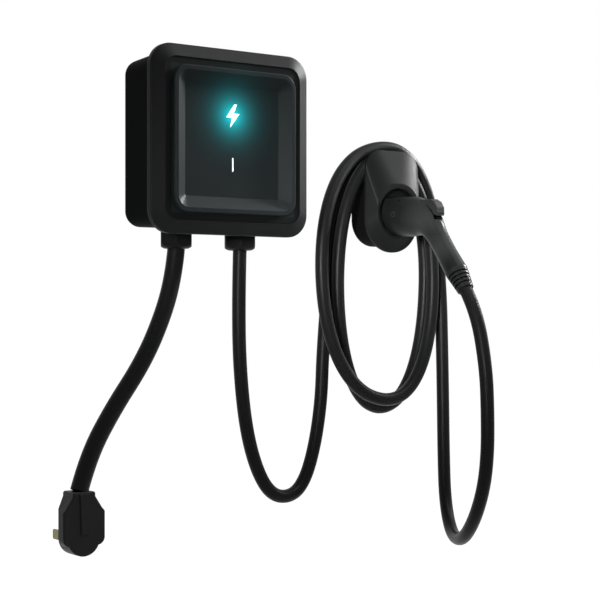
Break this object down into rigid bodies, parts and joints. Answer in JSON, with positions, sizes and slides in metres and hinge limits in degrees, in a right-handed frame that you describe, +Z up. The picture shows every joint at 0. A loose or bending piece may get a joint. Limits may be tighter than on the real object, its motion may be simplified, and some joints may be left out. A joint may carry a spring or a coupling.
{
  "type": "wall-mounted electric car charger with cable, holster and plug",
  "caption": "Square wall box with a dished front, a power cord with a four-blade plug, and a charging cable coiled on a round holster that holds its connector.",
  "frame": {"origin": "centre of the wall box's bolt pattern, on the wall plane", "axes": "+Y into the wall, +Z up, +X to the right as seen from the front"},
  "size_m": [0.6508, 0.2525, 0.6678],
  "materials": {
    "shell_plastic": "fine satin, near black",
    "bezel_plastic": "satin, near black",
    "panel_plastic": "smooth satin, near black with a cold tint",
    "lamp": "lit diffuser, cool white",
    "circuit_board": "green solder mask",
    "component_black": "matt",
    "component_blue": "matt",
    "steel": "zinc plated",
    "brass": "bright",
    "seal_rubber": "matt",
    "cord_rubber": "matt cable sheath",
    "gland_plastic": "satin nylon",
    "holster_plastic": "fine satin, near black",
    "handle_plastic": "satin grip plastic",
    "button_plastic": "satin, dark grey",
    "contact_silver": "silver plated"
  },
  "bodies": {
    "charger": {"wall_bracket": "steel", "rear_housing": "shell_plastic", "housing_gasket": "seal_rubber", "front_bezel": "bezel_plastic", "front_panel": "panel_plastic", "lamp_lens": "lamp", "status_lens": "lamp", "main_board": "circuit_board", "board_screws": "steel", "cover_screws": "steel", "relay_1": "component_black", "relay_2": "component_black", "current_sensor": "component_blue", "input_terminals": "component_black", "output_terminals": "component_black", "supply_transformer": "component_black", "supply_capacitors": "component_blue", "control_board": "circuit_board", "ground_bar": "brass", "led_board": "circuit_board", "power_cord_tail": "cord_rubber", "charge_cord_tail": "cord_rubber", "power_gland_body": "gland_plastic", "power_gland_nut": "gland_plastic", "power_gland_seal": "seal_rubber", "power_gland_locknut": "gland_plastic", "charge_gland_body": "gland_plastic", "charge_gland_nut": "gland_plastic", "charge_gland_seal": "seal_rubber", "charge_gland_locknut": "gland_plastic", "plug_face": "shell_plastic", "plug_body": "shell_plastic", "plug_hot_blades": "brass", "plug_neutral_blade": "brass", "plug_ground_pin": "brass", "power_cord": "cord_rubber", "charge_cord_supply": "cord_rubber", "charge_cord_drop": "cord_rubber", "connector_cord_tail": "cord_rubber", "charge_cord_coil": "cord_rubber", "holster_base": "holster_plastic", "holster_shield": "holster_plastic", "holster_socket": "holster_plastic", "holster_screws": "steel", "connector_nose": "handle_plastic", "contact_carrier": "component_black", "connector_contacts": "contact_silver", "connector_shell_left": "handle_plastic", "connector_shell_right": "handle_plastic", "connector_screws": "steel", "latch_pin": "steel", "latch_switch": "component_black", "latch_spring": "steel", "connector_boot": "seal_rubber"},
    "latch": {"latch_lever": "button_plastic", "thumb_button": "button_plastic"}
  },
  "joints": [
    {"name": "latch_pivot", "type": "hinge", "parent": "charger", "child": "latch", "pos_m": [0.3102, -0.078, -0.063], "axis": [1, 0, 0], "range_deg": [0, 3], "stiffness_Nm_per_rad": 4, "springref_deg": -3.44, "deforming": ["latch_spring"]}
  ]
}
